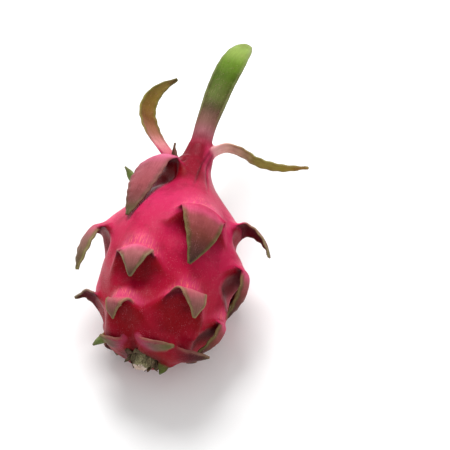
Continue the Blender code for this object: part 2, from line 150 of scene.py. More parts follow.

# Each kind of blade by its share of length: its middle, then its margins, then the thin line on its edge.
# Most blades are lightest pink a little past the root: the painted highlight of the skin's crests, carried
# onto the blade.
LOOKS = {
    # The tongue is light green towards its end, partly its own colour and partly painted highlight where it
    # faces the light, and darker in its middle, partly painted shade where it turns down.
    "tongue": (
        ((0.25, 0.36, 0.035, 0.07), (0.31, 0.40, 0.14, 0.16), (0.37, 0.26, 0.12, 0.095),
         (0.43, 0.17, 0.09, 0.06), (0.48, 0.10, 0.09, 0.03), (0.56, 0.13, 0.17, 0.035),
         (0.70, 0.08, 0.15, 0.006), (0.80, 0.13, 0.24, 0.015), (0.89, 0.30, 0.44, 0.085),
         (1.0, 0.34, 0.49, 0.12)),
        ((0.35, 0.22, 0.08, 0.07), (0.47, 0.09, 0.07, 0.025), (0.7, 0.07, 0.12, 0.010),
         (0.85, 0.19, 0.29, 0.05), (1.0, 0.38, 0.46, 0.18)),
        (0.36, 0.40, 0.17)),
    "sweep": (
        ((0.22, 0.74, 0.06, 0.18), (0.36, 0.88, 0.33, 0.34), (0.46, 0.44, 0.17, 0.11),
         (0.6, 0.24, 0.105, 0.028), (0.76, 0.26, 0.165, 0.030), (0.93, 0.34, 0.25, 0.06),
         (1.0, 0.05, 0.025, 0.025)),
        ((0.3, 0.42, 0.09, 0.14), (0.5, 0.20, 0.14, 0.04), (0.75, 0.22, 0.18, 0.03),
         (1.0, 0.06, 0.045, 0.03)),
        (0.34, 0.31, 0.08)),
    "strap": (
        ((0.18, 0.80, 0.09, 0.23), (0.28, 0.98, 0.50, 0.50), (0.46, 0.90, 0.68, 0.46),
         (0.6, 0.40, 0.38, 0.10), (0.8, 0.36, 0.31, 0.05), (1.0, 0.34, 0.14, 0.03)),
        ((0.3, 0.86, 0.34, 0.36), (0.6, 0.28, 0.28, 0.05), (1.0, 0.26, 0.11, 0.03)),
        (0.44, 0.41, 0.14)),
    "shoulder": (
        ((0.2, 0.66, 0.035, 0.13), (0.34, 0.82, 0.16, 0.32), (0.48, 0.47, 0.11, 0.14),
         (0.7, 0.35, 0.075, 0.085), (0.86, 0.19, 0.055, 0.050), (1.0, 0.07, 0.09, 0.02)),
        ((0.3, 0.62, 0.06, 0.16), (0.5, 0.34, 0.10, 0.11), (0.8, 0.15, 0.065, 0.045),
         (1.0, 0.07, 0.10, 0.02)),
        (0.26, 0.13, 0.09)),
    "hood": (
        ((0.26, 0.82, 0.030, 0.14), (0.39, 0.82, 0.10, 0.23), (0.48, 0.42, 0.085, 0.095),
         (0.68, 0.21, 0.050, 0.036), (0.84, 0.12, 0.042, 0.034), (1.0, 0.055, 0.034, 0.022)),
        ((0.3, 0.58, 0.04, 0.10), (0.40, 0.24, 0.085, 0.050), (0.54, 0.14, 0.090, 0.032),
         (0.8, 0.10, 0.085, 0.025), (1.0, 0.06, 0.06, 0.02)),
        (0.30, 0.24, 0.09)),
    "pale": (
        ((0.26, 0.84, 0.045, 0.17), (0.46, 0.90, 0.14, 0.28), (0.60, 0.52, 0.155, 0.17),
         (0.76, 0.38, 0.135, 0.125), (0.9, 0.19, 0.095, 0.062), (1.0, 0.08, 0.055, 0.030)),
        ((0.35, 0.72, 0.08, 0.19), (0.52, 0.36, 0.15, 0.11), (0.68, 0.18, 0.145, 0.055),
         (1.0, 0.08, 0.085, 0.025)),
        (0.46, 0.38, 0.21)),
    "flushed": (
        ((0.26, 0.84, 0.040, 0.13), (0.42, 0.94, 0.12, 0.24), (0.56, 0.66, 0.14, 0.18),
         (0.72, 0.36, 0.12, 0.12), (1.0, 0.20, 0.12, 0.07)),
        ((0.35, 0.80, 0.06, 0.15), (0.50, 0.50, 0.13, 0.13), (0.66, 0.24, 0.16, 0.075),
         (1.0, 0.13, 0.12, 0.035)),
        (0.50, 0.36, 0.18)),
    "sage": (
        ((0.26, 0.72, 0.05, 0.15), (0.42, 0.60, 0.14, 0.19), (0.56, 0.34, 0.15, 0.135),
         (0.75, 0.21, 0.13, 0.08), (1.0, 0.12, 0.10, 0.04)),
        ((0.35, 0.44, 0.10, 0.11), (0.52, 0.24, 0.18, 0.08), (0.8, 0.20, 0.19, 0.06),
         (1.0, 0.13, 0.13, 0.04)),
        (0.42, 0.38, 0.16)),
    "lilac": (
        ((0.26, 0.56, 0.03, 0.11), (0.45, 0.54, 0.12, 0.20), (0.65, 0.44, 0.15, 0.20),
         (0.85, 0.28, 0.16, 0.12), (1.0, 0.14, 0.12, 0.05)),
        ((0.4, 0.40, 0.11, 0.14), (0.7, 0.28, 0.18, 0.11), (1.0, 0.14, 0.13, 0.05)),
        (0.46, 0.38, 0.25)),
    "green": (
        ((0.3, 0.42, 0.04, 0.08), (0.45, 0.20, 0.21, 0.07), (0.75, 0.16, 0.26, 0.055),
         (0.93, 0.14, 0.18, 0.05), (1.0, 0.05, 0.04, 0.03)),
        ((0.4, 0.28, 0.17, 0.09), (0.7, 0.22, 0.33, 0.09), (1.0, 0.06, 0.05, 0.03)),
        (0.38, 0.44, 0.17)),
    "dim": (
        ((0.3, 0.20, 0.03, 0.03), (0.5, 0.12, 0.12, 0.03), (0.8, 0.10, 0.14, 0.025),
         (1.0, 0.08, 0.10, 0.02)),
        ((0.4, 0.12, 0.09, 0.03), (1.0, 0.06, 0.08, 0.015)),
        (0.16, 0.20, 0.06)),
    "mauve": (
        ((0.20, 0.46, 0.010, 0.045), (0.36, 0.40, 0.045, 0.100), (0.54, 0.25, 0.110, 0.105),
         (0.8, 0.19, 0.16, 0.075), (1.0, 0.14, 0.15, 0.035)),
        ((0.4, 0.42, 0.014, 0.055), (0.7, 0.38, 0.035, 0.090), (1.0, 0.17, 0.12, 0.045)),
        (0.40, 0.30, 0.16)),
    "low": (
        ((0.3, 0.30, 0.006, 0.020), (0.6, 0.10, 0.006, 0.012), (0.85, 0.08, 0.022, 0.018),
         (1.0, 0.12, 0.10, 0.04)),
        ((0.4, 0.30, 0.025, 0.04), (0.75, 0.16, 0.07, 0.05), (1.0, 0.14, 0.12, 0.05)),
        (0.42, 0.22, 0.16)),
    "dried": (
        ((0.3, 0.26, 0.03, 0.04), (0.6, 0.11, 0.045, 0.026), (1.0, 0.08, 0.045, 0.025)),
        ((0.3, 0.22, 0.03, 0.03), (1.0, 0.11, 0.05, 0.028)),
        (0.22, 0.14, 0.09)),
}

# How bright the painted colours are, how wide a blade's margins and its edge line are, in millimetres, and
# how strongly that line and the painted shade on a drooping blade's underside are painted.
BRIGHTNESS = 0.8
MARGIN_WIDTH = 3.4
RIM_WIDTH = 0.7
RIM_STRENGTH = 0.4
UNDERSIDE_SHADE_STRENGTH = 0.95

# Where the painted parts begin and end: millimetres of relief for the painted highlight on crests and the
# painted shade in hollows, of height past the skin and along the fruit, shares of a blade's length, and
# degrees round the neck.
CREST_RELIEF = (0.8, 5.5)
HOLLOW_RELIEF = (0.5, 4.5)
SHADE_WEIGHT = 3
BLADE_HEIGHT = (-1.0, 2.0)
BLADE_START = (0.08, 0.30)
CREST_END = (120, 136)
NECK_START = (118, 142)
NECK_SIDE_START = (22, 48)
NECK_SIDE_END = (140, 110)


class Scale(NamedTuple):
    """A scale of the skin, or a bract of the neck: a blade along a spine of (along, around, out) points.

    width is its full width, shape its outline and thick how much thicker than a plain blade it is. droop is
    how far its edges bend down from its middle, facing the angle round the fruit that it lies across (its
    root's own where it is None), twist the turn of its root and of its tip about the spine in degrees,
    swells how strongly the skin round its root swells, look its colours and wave how far its edges wave, in
    millimetres.
    """

    spine: tuple
    width: float
    shape: tuple = LEAF
    droop: float = 3.0
    facing: float = None
    twist: tuple = (0, 0)
    thick: float = 1.0
    swells: float = 1.0
    look: str = "hood"
    wave: float = 0.35


def hood(along, around, width, reach, lift, lean=0.0, droop=3.5):
    """A hooked scale that leaves the skin outwards and bends back towards the stub end."""
    spine = (
        (along - 4, around, outline_radius(along) - 6),
        (along + 2, around, outline_radius(along) + 0.25 * lift),
        (along + 1, around + 0.2 * lean, outline_radius(along) + 0.85 * lift),
        (along - 0.3 * reach, around + 0.5 * lean, outline_radius(along - 0.2 * reach) + lift),
        (along - 0.7 * reach, around + 0.8 * lean, outline_radius(along - 0.7 * reach) + 0.85 * lift),
        (along - reach, around + lean, outline_radius(along - reach) + 0.6 * lift),
    )
    return Scale(spine, width, droop=droop)


def spread(along, around, width, reach, lean=0.0, back=4.0):
    """A short bract that stands straight out from the skin near the stub."""
    radius = outline_radius(along)
    spine = (
        (along + 4, around, radius - 8),
        (along, around, radius),
        (along - back, around + 0.5 * lean, radius + 0.5 * reach),
        (along - 0.6 * back, around + lean, radius + reach),
    )
    return Scale(spine, width, SHORT, droop=-1.5, swells=0.3, look="low")


def outline_radius(along):
    stations = np.array(OUTLINE)
    return float(np.interp(along, stations[:, 0], stations[:, 1]))


def seen_scales():
    """The scales and bracts of the upper side, from the neck down to the stub."""
    return [
        # The thick green bract that rises from the neck and bends away at its blunt end.
        Scale(((142, 0, 1), (156, 0, 3), (169, 4, 5.5), (184, 7, 8.5), (198, 14, 10.5), (213, 20, 12.4),
               (234, 33, 14.5), (250, 50, 15), (259, 66, 16)),
              16.5, TONGUE, droop=-1.2, facing=0, thick=2.4, swells=0, look="tongue", wave=0.2),
        # The long bract that sweeps up on the left and curls in at its tip.
        Scale(((140, -80, 6), (151, -88, 16), (162, -95, 26), (172, -95, 35), (183, -95, 42),
               (195, -95, 46.5), (208, -95, 45.5), (219, -95, 39), (226, -95, 31)),
              16.0, STRAP, droop=-2.5, facing=-140, swells=0, look="sweep"),
        # The thin bract that arches out on the right.
        Scale(((142, 88, 3), (154, 88, 7), (165, 89, 10), (172, 90, 18), (171, 90, 28), (165, 90, 42),
               (163.5, 90, 58), (167.5, 90, 78)),
              8.5, STRAP, droop=-1.0, twist=(0, -25), swells=0, look="strap"),
        # The broad bract that arches over the left shoulder.
        Scale(((132, -48, 8), (143, -50, 14), (148.5, -50, 23), (142, -47, 33), (126, -44, 39),
               (106, -40, 43.5), (85, -37, 48)),
              26.0, BROAD, droop=3.0, twist=(0, -30), swells=0.8, look="shoulder"),
        # A small dried scale beside the neck.
        Scale(((142, -60, 9), (150, -60, 15), (157, -58, 19), (162, -54, 20)),
              7.0, droop=-1.0, swells=0, look="dried"),
        # The pair on the shoulder.
        Scale(((88, 28, 35), (94.5, 27, 43), (96, 26.5, 49), (89, 26.2, 54.5), (74, 26.8, 56.5),
               (61, 26, 54.3), (52.5, 24.8, 51.6)),
              29.0, OVATE, droop=4.0),
        Scale(((100, 85, 30), (106, 85, 39), (110, 85, 46), (107, 85, 54), (99, 85, 62), (89, 85, 67)),
              17.0, droop=2.5, swells=0.8, look="pale"),
        # The scales round the middle.
        Scale(((80, -74, 39), (86, -74, 48), (85, -75, 55), (77, -75, 59), (64, -75, 60), (50, -75, 59)),
              19.0, droop=3.0, twist=(0, -40), look="sage"),
        Scale(((49, -17, 39), (56, -17, 46.5), (56, -16, 53), (49, -15.5, 55.5), (42, -16, 53),
               (36, -17, 48.7)),
              24.0, droop=4.5, look="pale"),
        Scale(((24, 36, 33), (32, 33, 41), (35.5, 33, 48), (34, 34, 53), (28, 37, 54), (20, 41, 48.5)),
              23.0, droop=2.2, facing=33, look="flushed"),
        Scale(((32, -84, 33), (38, -84, 42), (39, -84, 48), (37, -85, 52), (34, -85, 55)),
              17.0, droop=2.5, look="lilac"),
        Scale(((14, -24, 27), (21, -25, 34), (23.5, -27, 40), (21, -30, 43.5), (16.5, -32, 42),
               (11.9, -34, 37)),
              18.0, droop=2.0, look="flushed"),
        # The short bracts that spread round the stub.
        Scale(((8, 2, 13), (2.5, 8, 16), (1, 22, 21), (2, 34, 26), (4, 42, 29.5)),
              21.0, SHORT, droop=-2.0, facing=71, swells=0.3, look="mauve", wave=0.12),
        Scale(((9, -45, 14), (3, -48, 17.5), (1.5, -56, 23), (3.5, -63, 28), (6, -66, 32)),
              16.0, SHORT, droop=-2.0, facing=-80, swells=0.3, look="mauve", wave=0.12),
        Scale(((15, -84, 19), (10, -86, 26), (7.5, -89, 30.5), (5, -92, 34.8)),
              15.0, SHORT, droop=-1.5, swells=0.3, look="green", wave=0.12),
        Scale(((10, 58, 17), (4, 66, 21.5), (3, 72, 28), (5, 78, 36), (8, 83, 43)),
              20.0, SHORT, droop=-2.0, facing=93, swells=0.3, look="low", wave=0.12),
        Scale(((6, 95, 15.5), (0.5, 95, 14.2), (-3, 97, 13.8), (-6, 100, 13)),
              8.0, SHORT, droop=0.6, facing=45, swells=0, look="dim"),
    ]


def hidden_scales():
    """The scales of the underside and the back, which keep the spiral of the upper side."""
    return [
        Scale(((142, 185, 5), (154, 186, 11), (166, 190, 16), (180, 192, 18), (194, 192, 15)),
              10.0, STRAP, droop=-1.5, facing=188, swells=0, look="sweep"),
        Scale(((134, 165, 8), (144, 165, 15), (148, 165, 22), (143, 164, 29), (132, 163, 33),
               (120, 162, 36)),
              18.0, droop=2.5, swells=0.3, look="shoulder"),
        Scale(((118, -105, 24), (126, -104, 31), (133, -102, 38), (139, -99, 44), (146, -96, 50)),
              15.0, droop=-2.0, facing=-50, swells=1.4, look="green"),
        hood(118, 140, 20, 30, 9),
        hood(112, -158, 19, 24, 6),
        hood(96, -122, 20, 32, 11),
        hood(86, 128, 22, 30, 9, lean=-4),
        hood(72, 84, 22, 32, 11, lean=5),
        hood(60, -126, 20, 24, 5),
        hood(52, 128, 20, 24, 7),
        hood(34, 92, 20, 24, 9),
        hood(30, -134, 18, 20, 6),
        spread(20, 132, 16, 7),
        spread(18, -126, 15, 7),
    ]


def place(along, around, out):
    """A place on the fruit in millimetres, the stub end's centre being the origin."""
    angle = math.radians(around)
    return along * AXIS + out * (math.cos(angle) * TOP + math.sin(angle) * SIDE)


def touch_point():
    """The middle of the flat spot, which is the model's origin."""
    return place(FLAT_SPOT_ALONG, 180, outline_radius(FLAT_SPOT_ALONG) - FLAT_SPOT_DEPTH)


def unit(vectors):
    return vectors / np.linalg.norm(vectors, axis=-1, keepdims=True)


def smoothstep(low, high, value):
    share = np.clip((value - low) / (high - low), 0, 1)
    return share * share * (3 - 2 * share)


def lengths_to(points):
    """How far along the line through some points each of them lies."""
    return np.concatenate([[0], np.cumsum(np.linalg.norm(np.diff(points, axis=0), axis=1))])


def smooth_through(knots, values, wanted):
    """A smooth curve through values at knots, read at the wanted places."""
    knots = np.asarray(knots, float)
    values = np.asarray(values, float)
    slopes = np.gradient(values, knots, axis=0)
    index = np.clip(np.searchsorted(knots, wanted, side="right") - 1, 0, len(knots) - 2)
    span = knots[index + 1] - knots[index]
    share = (wanted - knots[index]) / span
    if values.ndim > 1:
        span = span[:, None]
        share = share[:, None]
    left = 1 - share
    start = (values[index] * (1 + 2 * share) + slopes[index] * span * share) * left**2
    end = (values[index + 1] * (1 + 2 * left) - slopes[index + 1] * span * left) * share**2
    return start + end


class Blade:
    """A scale's middle surface as cross-sections close together, and the distance to its solid.

    It starts a little below the scale's root, so that its end lies well inside the skin.
    """

    SPACING = 0.8

    def __init__(self, scale):
        knots = np.array([place(*point) for point in scale.spine])
        lengths = lengths_to(knots)
        fine = smooth_through(lengths, knots, np.linspace(0, lengths[-1], 400))
        fine_lengths = np.concatenate([[-DEEPER_ROOT], lengths_to(fine)])
        fine = np.concatenate([[fine[0] - DEEPER_ROOT * unit(fine[1] - fine[0])], fine])
        self.scale = scale
        self.length = fine_lengths[-1]
        count = int((self.length + DEEPER_ROOT) / self.SPACING) + 2
        steps = np.linspace(-DEEPER_ROOT, self.length, count)
        self.step = steps[1] - steps[0]
        self.number = np.arange(count)
        self.share = np.clip(steps / self.length, 0, 1)
        self.centres = np.stack([np.interp(steps, fine_lengths, line) for line in fine.T], axis=1)
        self.forward = unit(np.gradient(self.centres, axis=0))
        facing = math.radians(scale.spine[0][1] if scale.facing is None else scale.facing)
        around = math.cos(facing) * SIDE - math.sin(facing) * TOP
        across = unit(around - (self.forward @ around)[:, None] * self.forward)
        outward = np.cross(self.forward, across)
        turn = np.radians(np.linspace(scale.twist[0], scale.twist[1], count))[:, None]
        self.across = np.cos(turn) * across + np.sin(turn) * outward
        self.outward = np.cos(turn) * outward - np.sin(turn) * across
        shape = np.array(scale.shape)
        self.half_width = 0.5 * scale.width * smooth_through(shape[:, 0], shape[:, 1], self.share)
        self.half_thickness = 0.5 * self.thickness()
        self.droop = scale.droop * np.interp(self.share, *np.transpose(DROOP))
        self.hug = np.clip(1 - self.share / HUG_SHARE, 0, 1) ** 2 / (2 * scale.spine[1][2])
        self.wave = scale.wave * smoothstep(0.3, 0.6, self.share)

    def thickness(self):
        root = np.clip(1 - self.share / ROOT_SHARE, 0, 1) ** 2
        blade = self.scale.thick * (BLADE_THICKNESS + (TIP_THICKNESS - BLADE_THICKNESS) * self.share)
        root_thickness = min(ROOT_THICKNESS, ROOT_WIDTH_SHARE * self.scale.width)
        return np.maximum(blade + (root_thickness - blade) * root, TIP_THICKNESS)

    def near(self, points, margin):
        """Which points lie within margin of the box round the blade."""
        reach = margin + 0.5 * self.scale.width * 1.3
        low = self.centres.min(axis=0) - reach
        high = self.centres.max(axis=0) + reach
        return np.flatnonzero(((points > low) & (points < high)).all(axis=1))

    def distance(self, points):
        """Points' distances to the blade, their shares along it, and millimetres across and above."""
        parts = [self._distance(chunk) for chunk in np.array_split(points, len(points) // 20000 + 1)]
        return [np.concatenate(items) for items in zip(*parts)]

    def at(self, section, *rows):
        """Rows of values, one value for each section, read at places between the sections."""
        return [np.interp(section, self.number, values) for values in rows]

    def bend(self, section, beside):
        """How far the middle surface lies above its spine, beside it by a share of the half-width."""
        wave, share, droop = self.at(section, self.wave, self.share, self.droop)
        waves = wave * np.sin(0.75 * share * self.length + 1.2 * np.sign(beside)) * beside**2
        return waves - droop * np.abs(beside) ** DROOP_POWER

    def _distance(self, points):
        points = points.astype(np.float32)

        def component(directions):
            directions = directions.astype(np.float32)
            return points @ directions.T - (self.centres * directions).sum(axis=1).astype(np.float32)

        aside = component(self.across)
        inside = np.clip(aside, -self.half_width, self.half_width)
        raised = component(self.outward)
        above = raised - self.bend(self.number, inside / self.half_width)
        ahead = component(self.forward) + self.hug * inside**2
        beyond = np.maximum(np.abs(ahead) - 0.5 * self.step, 0)
        best = np.argmin(beyond**2 + (aside - inside) ** 2 + above**2, axis=1)

        rows = np.arange(len(points))
        aside, raised, ahead = (values[rows, best] for values in (aside, raised, ahead))
        section = np.clip(best + np.clip(ahead / self.step, -0.5, 0.5), 0, self.number[-1])
        half_width, half_thickness, share = self.at(
            section, self.half_width, self.half_thickness, self.share)
        inside = np.clip(aside, -half_width, half_width)
        beside = inside / half_width
        above = raised - self.bend(section, beside)
        beyond = ahead - (section - best) * self.step
        thickness = half_thickness * (1 - (1 - EDGE_SHARE) * beside**2)
        distance = np.sqrt(beyond**2 + (aside - inside) ** 2 + above**2)
        return distance - np.maximum(thickness, LEAST_HALF_THICKNESS), share, aside, above


class Body:
    """The distance to the plain body, from a table over (along, out), and the skin's relief over it."""

    TABLE_STEP = 0.5
    LOW_ALONG = -16.0
    HIGH_ALONG = 190.0
    HIGH_OUT = 70.0

    def __init__(self, scales):
        outline = np.array(OUTLINE)
        lengths = lengths_to(outline)
        skin = smooth_through(lengths, outline, np.linspace(0, lengths[-1], 240))
        start = [(SOCKET_DEPTH, 0), (SOCKET_DEPTH, SOCKET_FLOOR_RADIUS), (SOCKET_RIM, SOCKET_RADIUS)]
        end = [(NECK_TOP - 0.6, 4.5), (NECK_TOP, 0)]
        profile = np.concatenate([start, skin, end])
        along = np.arange(self.LOW_ALONG, self.HIGH_ALONG, self.TABLE_STEP)
        out = np.arange(0, self.HIGH_OUT, self.TABLE_STEP)
        places = np.stack(np.meshgrid(along, out, indexing="ij"), axis=-1).reshape(-1, 2)
        nearest = np.full(len(places), np.inf)
        crossings = np.zeros(len(places), int)
        for (along0, out0), (along1, out1) in zip(profile[:-1], profile[1:]):
            step = np.array((along1 - along0, out1 - out0))
            offset = places - (along0, out0)
            share = np.clip(offset @ step / (step @ step), 0, 1)
            nearest = np.minimum(nearest, np.linalg.norm(offset - share[:, None] * step, axis=1))
            spans = (places[:, 0] >= min(along0, along1)) & (places[:, 0] < max(along0, along1))
            height = out0 + (places[:, 0] - along0) / (step[0] or 1) * step[1]
            crossings += spans & (height > places[:, 1])
        signed = np.where(crossings % 2 == 1, -nearest, nearest)
        self.table = signed.reshape(len(along), len(out)).astype(np.float32)
        self.relief_along = np.arange(self.LOW_ALONG, self.HIGH_ALONG, 1.0)
        self.relief_around = np.arange(-180, 181, 2.0)
        self.swelling, self.hollow, self.crease, self.shade = self.relief_tables(scales)

    def relief_tables(self, scales):
        along, around = np.meshgrid(self.relief_along, self.relief_around, indexing="ij")
        radius = np.interp(along, *np.transpose(OUTLINE))
        swelling = np.zeros(along.shape)
        shade = np.zeros(along.shape)
        hollow = np.zeros(along.shape)
        for scale in scales:
            root_along, root_around, _ = scale.spine[1]
            sideways = np.radians((around - root_around + 180) % 360 - 180) * radius
            beside = (sideways / (0.5 * scale.width)) ** 2
            ahead = along - root_along + np.minimum(SWELLING_BOW * sideways**2, LOWEST_BOW)
            length = np.where(ahead > 0, SWELLING_LENGTH_AHEAD, SWELLING_LENGTH_BEHIND)
            swell = scale.swells * SWELLING * np.exp(-((ahead / length) ** 2) - SWELLING_SPREAD * beside)
            swelling += swell
            # The part of each swelling that lies under its hood, which the paint darkens as shade.
            shade += swell * smoothstep(3, -4, ahead)
            behind = (ahead + HOLLOW_BEHIND) / HOLLOW_LENGTH
            hollow += scale.swells * HOLLOW * np.exp(-(behind**2) - beside)
        crease = np.zeros(along.shape)
        for places in CREASES:
            middle = np.interp(along, *np.transpose(places[::-1]))
            sideways = np.radians(around - middle) * radius / CREASE_WIDTH
            ends = smoothstep(places[-1][0] - 4, places[-1][0] + 24, along)
            ends = ends * smoothstep(places[0][0] + 2, places[0][0] - 6, along)
            crease = np.maximum(crease, np.exp(-(sideways**2)) * ends)
        return swelling, hollow, crease, shade

    @staticmethod
    def coordinates(points):
        """(along, around, out) of points in the fruit's own frame."""
        along = points @ AXIS
        top = points @ TOP
        side = points @ SIDE
        return along, np.degrees(np.arctan2(side, top)), np.hypot(top, side)

    def relief(self, along, around):
        """The swelling, the hollow, how much of a crease is there, and the swelling under a hood."""
        row = np.clip(along - self.LOW_ALONG, 0, len(self.relief_along) - 1.001)
        column = np.clip((around + 180) / 2, 0, len(self.relief_around) - 1.001)
        tables = (self.swelling, self.hollow, self.crease, self.shade)
        return [bilinear(table, row, column) for table in tables]

    def distance(self, points):
        along, around, out = self.coordinates(points)
        row = np.clip((along - self.LOW_ALONG) / self.TABLE_STEP, 0, self.table.shape[0] - 1.001)
        column = np.clip(out / self.TABLE_STEP, 0, self.table.shape[1] - 1.001)
        swelling, hollow, crease, _ = self.relief(along, around)
        beyond = (along - FLATTER_PLACE[0]) / FLATTER_REACH[0]
        aside = ((around - FLATTER_PLACE[1] + 180) % 360 - 180) / FLATTER_REACH[1]
        flatter = FLATTER_BY * np.exp(-(beyond**2) - aside**2)
        relief = swelling - hollow - flatter - CREASE_DEPTH * crease
        fade = smoothstep(SOCKET_RADIUS, SOCKET_RADIUS + 4, out) * smoothstep(NECK_TOP, NECK_TOP - 8, along)
        return bilinear(self.table, row, column) - relief * fade


def bilinear(table, row, column):
    top = row.astype(int)
    left = column.astype(int)
    down = row - top
    right = column - left
    upper = table[top, left] * (1 - right) + table[top, left + 1] * right
    lower = table[top + 1, left] * (1 - right) + table[top + 1, left + 1] * right
    return upper * (1 - down) + lower * down


def soft_least(first, second, fillet):
    """The lesser of two distances, with a round fillet where they meet."""
    overlap = np.maximum(fillet - np.abs(first - second), 0) / fillet
    return np.minimum(first, second) - overlap**2 * fillet / 4


def fillet_at(share):
    """The size of the fillet between a scale and the skin, large at its root and small past it."""
    return TIP_FILLET + (ROOT_FILLET - TIP_FILLET) * (1 - smoothstep(*FILLET_ENDS, share))


def joined(distances, blade, points):
    """The distances at some points with a blade added."""
    distance, share, _, _ = blade.distance(points)
    return soft_least(distances, distance, fillet_at(share))


def whole_numbers(counts):
    """Every (x, y, z) of whole numbers from 0 up to three counts."""
    return np.stack(np.meshgrid(*map(np.arange, counts), indexing="ij"), axis=-1).reshape(-1, 3)


class Field:
    """The fruit's distances on a grid, worked out only in the blocks near its surface."""

    def __init__(self, body, blades, low, high):
        self.low = low
        self.blocks = np.ceil((high - low) / (STEP * BLOCK)).astype(int)
        self.size = self.blocks * BLOCK
        self.corners = whole_numbers(self.blocks) * BLOCK
        self.centres = low + (self.corners + 0.5 * (BLOCK - 1)) * STEP
        self.offsets = whole_numbers([BLOCK] * 3)
        self.reach = 0.5 * math.sqrt(3) * BLOCK * STEP
        self.values = np.full(self.size, FAR, np.float32)
        self.add_body(body)
        for blade in blades:
            self.add_blade(blade)

    def samples(self, blocks):
        """Indexes and places of all the grid's points in some blocks."""
        index = (self.corners[blocks][:, None] + self.offsets[None]).reshape(-1, 3)
        return np.ravel_multi_index(index.T, self.size), self.low + index * STEP

    def add_body(self, body):
        self.body_distance = body.distance(self.centres)
        flat = self.values.reshape(-1)
        inner, _ = self.samples(np.flatnonzero(self.body_distance < 0))
        flat[inner] = -FAR
        near = np.abs(self.body_distance) < self.reach + ROOT_FILLET
        index, points = self.samples(np.flatnonzero(near))
        flat[index] = body.distance(points)

    def add_blade(self, blade):
        near = blade.near(self.centres, self.reach + ROOT_FILLET)
        near = near[self.body_distance[near] > -self.reach - ROOT_FILLET]
        distance, share, _, _ = blade.distance(self.centres[near])
        block_share = BLOCK * STEP / blade.length
        needed = self.reach + fillet_at(share - block_share)
        index, points = self.samples(near[distance < needed])
        flat = self.values.reshape(-1)
        flat[index] = joined(flat[index], blade, points)

    def read(self, points):
        """The distance at any points."""
        place_in = (points - self.low) / STEP
        cell = np.clip(place_in.astype(int), 0, self.size - 2)
        share = place_in - cell
        value = np.zeros(len(points))
        for corner in np.ndindex(2, 2, 2):
            weights = np.where(corner, share, 1 - share).prod(axis=1)
            value += self.values[tuple((cell + corner).T)] * weights
        return value


def surface_net(values):
    """A closed surface of quads at the values' zero level, with a point for each cell that it crosses."""
    inside = values < 0
    cells = np.array(values.shape) - 1
    corners = list(np.ndindex(2, 2, 2))
    count = np.zeros(cells, np.int8)
    for x, y, z in corners:
        count += inside[x:x + cells[0], y:y + cells[1], z:z + cells[2]]
    crossed = np.argwhere((count > 0) & (count < 8))
    number = np.full(cells, -1, np.int32)
    number[tuple(crossed.T)] = np.arange(len(crossed))
    corner_values = np.stack([values[tuple((crossed + corner).T)] for corner in corners], axis=1)
    total = np.zeros((len(crossed), 3))
    crossings = np.zeros(len(crossed))
    for first, second in itertools.combinations(range(8), 2):
        side = np.subtract(corners[second], corners[first])
        if np.abs(side).sum() > 1:
            continue
        start, end = corner_values[:, first], corner_values[:, second]
        differs = (start < 0) != (end < 0)
        share = start / np.where(differs, start - end, 1)
        spot = np.array(corners[first]) + share[:, None] * side
        total += np.where(differs[:, None], spot, 0)
        crossings += differs
    points = crossed + total / crossings[:, None]
    quads = []
    for axis in range(3):
        ahead = np.roll((1, 0, 0), axis)
        low = 1 - ahead
        window, beyond = tuple(map(slice, low, cells)), tuple(map(slice, low + ahead, cells + ahead))
        edges = np.argwhere(inside[window] != inside[beyond]) + low
        rising = inside[tuple(edges.T)]
        around = [edges - np.roll(back, axis) for back in ((0, 1, 1), (0, 0, 1), (0, 0, 0), (0, 1, 0))]
        ring = np.stack([number[tuple(cell.T)] for cell in around], axis=1)
        quads.append(np.where(rising[:, None], ring, ring[:, ::-1]))
    return points, np.concatenate(quads)


def exact_distance(points, body, blades):
    """The distance to the whole fruit at any points, worked out without the grid."""
    distances = body.distance(points)
    for blade in blades:
        near = blade.near(points, ROOT_FILLET)
        distances[near] = joined(distances[near], blade, points[near])
    return distances


def directions_out(points, quads):
    """The direction out of the surface at each of its points."""
    first, second, third, fourth = (points[quads[:, corner]] for corner in range(4))
    facing = np.cross(third - first, fourth - second)
    total = np.zeros(points.shape)
    for corner in range(4):
        for axis in range(3):
            total[:, axis] += np.bincount(quads[:, corner], facing[:, axis], len(points))
    return total / np.maximum(np.linalg.norm(total, axis=1, keepdims=True), 1e-9)


def settle(points, quads, field, body, blades):
    """Evens out the surface's points and sets them on the zero level."""
    starts = quads.reshape(-1)
    ends = np.roll(quads, -1, axis=1).reshape(-1)
    neighbours = np.bincount(starts, minlength=len(points)) + np.bincount(ends, minlength=len(points))
    for evenness, most, exact in SETTLING:
        total = np.zeros(points.shape)
        for axis in range(3):
            total[:, axis] += np.bincount(starts, points[ends, axis], len(points))
            total[:, axis] += np.bincount(ends, points[starts, axis], len(points))
        points = (1 - evenness) * points + evenness * total / neighbours[:, None]
        distance = exact_distance(points, body, blades) if exact else field.read(points)
        points = points - np.clip(distance, -most, most)[:, None] * directions_out(points, quads)
    return points


def put(name, data):
    """A new object in the scene."""
    obj = bpy.data.objects.new(name, data)
    bpy.context.scene.collection.objects.link(obj)
    return obj


def mesh_object(name, points, faces):
    """An object from points in the fruit's own frame, in millimetres, set where the fruit lies."""
    mesh = bpy.data.meshes.new(name)
    points = (points - touch_point()) * MM
    points[:, 2] = np.maximum(points[:, 2], 0)
    mesh.from_pydata(points, [], faces)
    return put(name, mesh)


